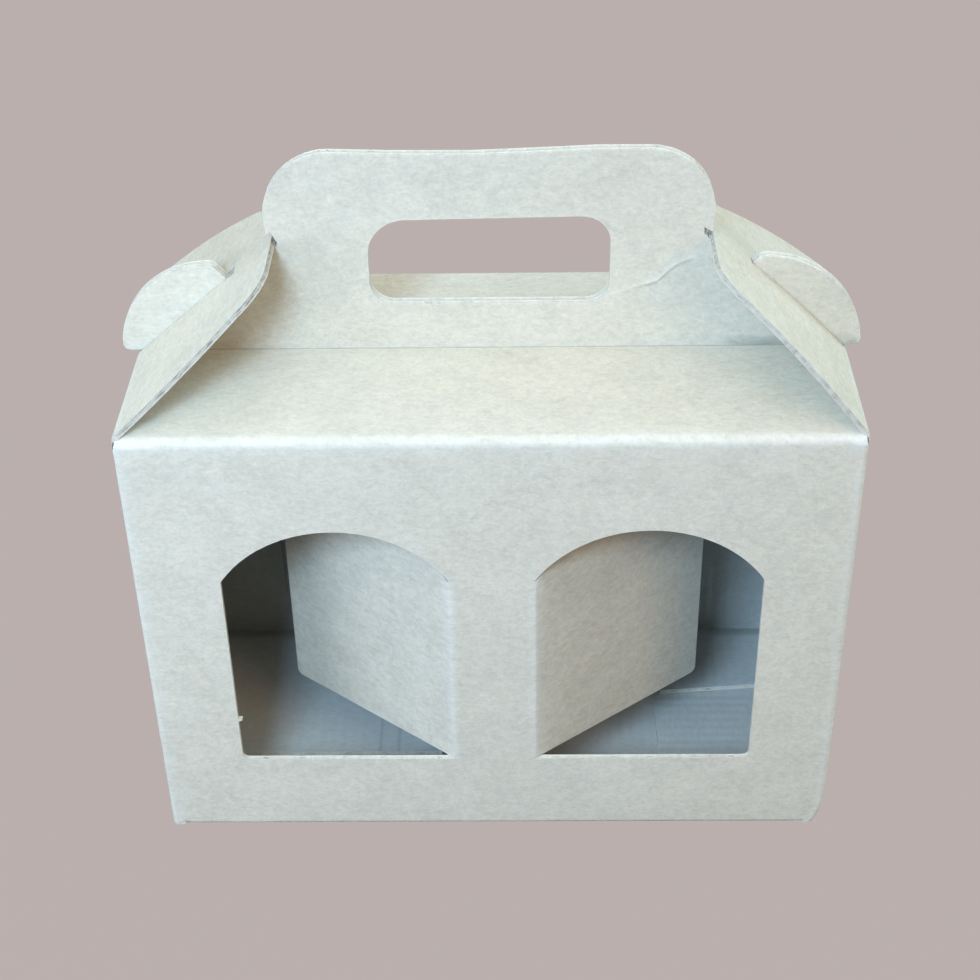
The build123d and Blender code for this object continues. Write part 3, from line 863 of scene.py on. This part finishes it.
# Lock flaps: the side walls' top panels, slotted for the handle's ears and caught at their
# ends in the handle's notches. Same board as the walls, bent at one scored crease.
lock_base_y, lock_end_y, lock_shoulder_y = 42.3, 17.0, 27.8
shoulder_run = lock_length * 0.82
slot_length = hypot(ear_tip_run, ear_tip_height) + 0.35
slot_half_width = 1.95
lock_bend_radius = 1.5
edge_swell, corner_swell = 1.7, 1.6
# The lock flaps' cut edges take a darker tone than the other cut edges: painted shade, as these edges lie
# in shade.
shaded_lock_edge_tone = (0.57, 0.53, 0.46)
shaded_lock_edge = kraft_material("shaded_lock_edge", shaded_lock_edge_tone, 0.20, 0.10, 0.40, 0.10, 0.0, 0.3)


def lock_flap(name, side, angle, bow, twist, lift, frayed):
    """A lock flap with the strip of wall below its crease, bent over to its angle above level.

    bow swells its front half and lift its back half, twist turns its back edge down towards
    the handle, and frayed is how far its flutes are open at the cut.
    """
    turn = 90 - angle
    tangent = lock_bend_radius * tan(radians(turn / 2))
    bend_begin = wall_height - tangent
    bend_length = lock_bend_radius * radians(turn)
    run_shift = bend_begin + bend_length - tangent
    bend = (bend_begin, bend_length, turn)
    line = folded_line(lock_seam - 5, 215, 90, [bend], lock_seam, (0.0, lock_seam))
    middle = right_mid if side > 0 else left_mid

    def fold(q, s, h):
        """Place on the flap: e outwards and z up along the bent line, y across, bowed between its ends."""
        e, z, rise = line(s)
        share = np.clip((s - run_shift) / lock_length, 0, 1)
        across = (q - middle) * side
        back = smooth(across / 22)
        h = h + np.sin(pi * share) * (bow * smooth(0.5 - across / 30) + lift * back) - twist * share * back
        return np.column_stack([side * (wall_x + e + h * np.sin(rise)), across, z - h * np.cos(rise)])

    edge_middle = (shoulder_run / 2, (lock_base_y + lock_shoulder_y) / 2 + edge_swell)
    corner_middle = ((shoulder_run + lock_length) / 2 + corner_swell,
                     (lock_shoulder_y + lock_end_y) / 2 + corner_swell)
    edge = np.concatenate([
        arc_points((0, lock_base_y), edge_middle, (shoulder_run, lock_shoulder_y), 30),
        arc_points((shoulder_run, lock_shoulder_y), corner_middle, (lock_length, lock_end_y), 20)[1:],
    ])
    edge = edge[:, ::-1] + (0, run_shift)
    near_y, far_y = lock_strip_y, lock_strip_y if side > 0 else lock_strip_back_y
    right_y, left_y = (far_y, near_y) if side > 0 else (near_y, far_y)
    base = bend_begin - 0.2
    outline = np.concatenate([
        [(-left_y, lock_seam), (right_y, lock_seam), (right_y, base), (lock_base_y, base)], edge,
        (edge * (-1, 1))[::-1], [(-lock_base_y, base), (-left_y, base)],
    ]) + (middle, 0)
    slot_low, slot_high = bend_begin - 0.1, run_shift + slot_length
    slot = np.array([
        (-slot_half_width, slot_low), (slot_half_width, slot_low),
        (slot_half_width, slot_high), (-slot_half_width, slot_high),
    ]) + (middle, 0)
    piece = board_piece(
        name, [outline, slot],
        lattice(middle - lock_base_y, middle + lock_base_y, flap_step, []),
        lattice(lock_seam, run_shift + lock_length + 2, flap_step, [(bend_begin, bend_length)]),
        fold, lambda q, s: s < base + 0.05, lambda q, s: 0.06 + frayed * uneven(4 * q, 4 * s) ** 2,
        (outer_liner, inner_liner, shaded_lock_edge),
        lambda q, s: near(s, bend_begin + bend_length / 2, 1.4) * 0.45, lambda q, s: 0 * q,
    )
    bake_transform(piece)
    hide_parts("left_lock_flap" if side < 0 else "right_lock_flap")


lock_flap("left_lock_flap_board", -1, left_lock_angle, 0.0, 1.2, 0.8, 0.6)
lock_flap("right_lock_flap_board", 1, right_lock_angle, 1.6, 3.2, 0.6, 0.45)

# Window flaps: the panels cut out of the front windows, still held at the post between them
# and pushed in to part the two jars. Same board, bent at one scored crease.
window_flap_angle = 37.5
flap_kerf = 0.3
flap_bend_radius = 1.2
frayed_q = -43.0
flap_liner = kraft_material("flap_liner", outer_tone, 0.42, 0.12, 0.34, 0.07, 0.05, 0.5)


def window_flap(name, side):
    """A window flap with its strip of the post, swung in about its crease.

    The left one's foot is frayed white along part of its length.
    """
    tangent = flap_bend_radius * tan(radians(window_flap_angle / 2))
    bend_begin = crease_x - tangent
    bend_length = flap_bend_radius * radians(window_flap_angle)
    run_shift = bend_begin + bend_length - tangent
    strip_x = crease_x - strip_width
    bend = (bend_begin, bend_length, window_flap_angle)
    line = folded_line(strip_x - 5, 90, 0, [bend], strip_x, (strip_x, -wall_y))

    def fold(q, s, h):
        """Place on the flap: x and y along the bent line from the post, z up it."""
        x, y, heading = line(np.abs(q))
        return np.column_stack([side * (x + h * np.sin(heading)), y - h * np.cos(heading), s])

    reach = run_shift + jamb_x - crease_x - flap_kerf
    foot, spring = window_sill + flap_kerf, window_spring - flap_kerf
    crown = window_crown - flap_kerf
    shoulder = run_shift + 0.3
    outline = np.concatenate([
        [(strip_x, window_sill), (bend_begin, window_sill), (bend_begin, foot)],
        rounded((run_shift, foot), (reach, foot), (reach, spring), window_radius),
        arc_points((reach, spring), ((reach + shoulder) / 2, crown), (shoulder, spring), 60),
        [(bend_begin, window_spring), (strip_x, window_spring)],
    ]) * (side, 1)
    across = lattice(strip_x, reach, flap_step, [(bend_begin, bend_length)])
    piece = board_piece(
        name, [outline], np.sort(across * side), lattice(foot, crown, flap_step, []), fold,
        lambda q, s: np.abs(q) < bend_begin + 0.05, lambda q, s: 0.1 + 0 * q,
        (flap_liner, inner_liner, cut_edge),
        lambda q, s: near(np.abs(q), bend_begin + bend_length / 2, 1.3) * 0.4
        + 0.9 * near(s, foot, 0.6) * near(q, frayed_q, 10), lambda q, s: 0 * q,
    )
    body = "left_window_flap" if side < 0 else "right_window_flap"
    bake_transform(piece)
    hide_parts(body)


window_flap("left_window_flap_board", -1)
window_flap("right_window_flap_board", 1)

# Stage: a plain warm grey floor that keeps a soft shadow, and the same grey all round.
stage_tone, ground_tone = (0.497, 0.434, 0.418), (0.16, 0.14, 0.13)
stage_half, glow_share = 6.0, 0.98


def studio_floor():
    """A square of floor under the box, which the camera sees almost evenly lit."""
    mesh = bpy.data.meshes.new("floor")
    corners = [(-stage_half, -stage_half, 0), (stage_half, -stage_half, 0),
               (stage_half, stage_half, 0), (-stage_half, stage_half, 0)]
    mesh.from_pydata(corners, [], [(0, 1, 2, 3)])
    material = bpy.data.materials.new("floor_grey")
    material.use_nodes = True
    tree = material.node_tree
    shader = tree.nodes["Principled BSDF"]
    shader.inputs["Base Color"].default_value = (*ground_tone, 1)
    shader.inputs["Roughness"].default_value = 0.9
    glow = node(tree, "ShaderNodeEmission")
    glow.inputs["Color"].default_value = (*stage_tone, 1)
    path = node(tree, "ShaderNodeLightPath")
    share = node(tree, "ShaderNodeMath", operation="MULTIPLY")
    share.inputs[1].default_value = glow_share
    link(tree, path.outputs["Is Camera Ray"], share.inputs[0])
    mix = node(tree, "ShaderNodeMixShader")
    link(tree, share.outputs[0], mix.inputs[0])
    link(tree, shader.outputs[0], mix.inputs[1])
    link(tree, glow.outputs[0], mix.inputs[2])
    link(tree, mix.outputs[0], tree.nodes["Material Output"].inputs["Surface"])
    mesh.materials.append(material)
    floor = bpy.data.objects.new("floor", mesh)
    bpy.context.collection.objects.link(floor)
    return floor


studio_floor()

# World: an even sky overhead that fades out towards the horizon. The camera sees the
# stage's own grey in its place.
world = bpy.data.worlds.new("studio")
bpy.context.scene.world = world
world.use_nodes = True
sky = world.node_tree
ambient = sky.nodes["Background"]
sky_tone = (0.95, 0.95, 0.9)
ambient.inputs["Color"].default_value = (*sky_tone, 1)
aim = node(sky, "ShaderNodeTexCoord")
split = node(sky, "ShaderNodeSeparateXYZ")
link(sky, aim.outputs["Generated"], split.inputs[0])
dome = node(sky, "ShaderNodeMapRange", interpolation_type="SMOOTHSTEP")
dome.inputs["From Min"].default_value, dome.inputs["From Max"].default_value = 0.42, 0.75
dome.inputs["To Min"].default_value, dome.inputs["To Max"].default_value = 0.0, 1.06
link(sky, split.outputs["Z"], dome.inputs["Value"])
link(sky, dome.outputs["Result"], ambient.inputs["Strength"])
seen = node(sky, "ShaderNodeBackground")
seen.inputs["Color"].default_value = (*stage_tone, 1)
sight = node(sky, "ShaderNodeLightPath")
both = node(sky, "ShaderNodeMixShader")
link(sky, sight.outputs["Is Camera Ray"], both.inputs[0])
link(sky, ambient.outputs[0], both.inputs[1])
link(sky, seen.outputs[0], both.inputs[2])
link(sky, both.outputs[0], sky.nodes["World Output"].inputs["Surface"])

# Lamps: a cool window light from the front left, low fills at both sides, and the sky's
# light from beside each lock flap.
lamp_aim = np.array([0, 0, 0.08])


def soft_lamp(name, toward, distance, size, power, tone):
    """A square soft lamp facing the middle of the box from a direction."""
    light = bpy.data.lights.new(name, "AREA")
    light.size, light.energy, light.color = size, power, tone
    lamp = bpy.data.objects.new(name, light)
    way = np.array(toward, float) / np.linalg.norm(toward)
    lamp.location = lamp_aim + way * distance
    lamp.rotation_mode = "QUATERNION"
    lamp.rotation_quaternion = Vector(-way).to_track_quat("-Z", "Y")
    bpy.context.collection.objects.link(lamp)


soft_lamp("key", (-0.229, -0.748, 0.6225), 0.75, 0.2, 4.4, (0.478, 0.73, 1.0))
soft_lamp("left_fill", (-0.7493, -0.6287, 0.2079), 0.5, 0.26, 0.85, (0.75, 0.85, 1.0))
soft_lamp("right_fill", (0.567, -0.676, 0.47), 0.7, 0.3, 0.86, (1.0, 0.66, 0.34))
soft_lamp("right_sky", (1.0, 0.2, 0.32), 1.5, 1.0, 13.4, (0.50, 0.83, 1.0))
soft_lamp("left_sky", (-1.0, 0.35, 0.45), 1.5, 1.0, 2.4, (0.65, 0.97, 1.0))

# Camera: from the front, looking down on the box at the photograph's angle
focal_pixels, frame_pixels = 1826.887, 980
eye = np.array([8.417, -420.235, 392.702]) * metre
pitch, roll, yaw = radians(35.835), radians(1.116), radians(-1.281)
ahead = np.array([sin(yaw) * cos(pitch), cos(yaw) * cos(pitch), -sin(pitch)])
level = np.array([cos(yaw), -sin(yaw), 0])
down = np.cross(ahead, level)
right = cos(roll) * level + sin(roll) * down
under = -sin(roll) * level + cos(roll) * down
lens = bpy.data.cameras.new("camera")
lens.sensor_width = 36
lens.lens = focal_pixels / frame_pixels * lens.sensor_width
lens.clip_start, lens.clip_end = 0.01, 50
camera = bpy.data.objects.new("camera", lens)
camera.matrix_world = Matrix((
    (right[0], -under[0], -ahead[0], eye[0]),
    (right[1], -under[1], -ahead[1], eye[1]),
    (right[2], -under[2], -ahead[2], eye[2]),
    (0, 0, 0, 1),
))
bpy.context.collection.objects.link(camera)
bpy.context.scene.camera = camera
bpy.context.scene.view_settings.view_transform = "Standard"
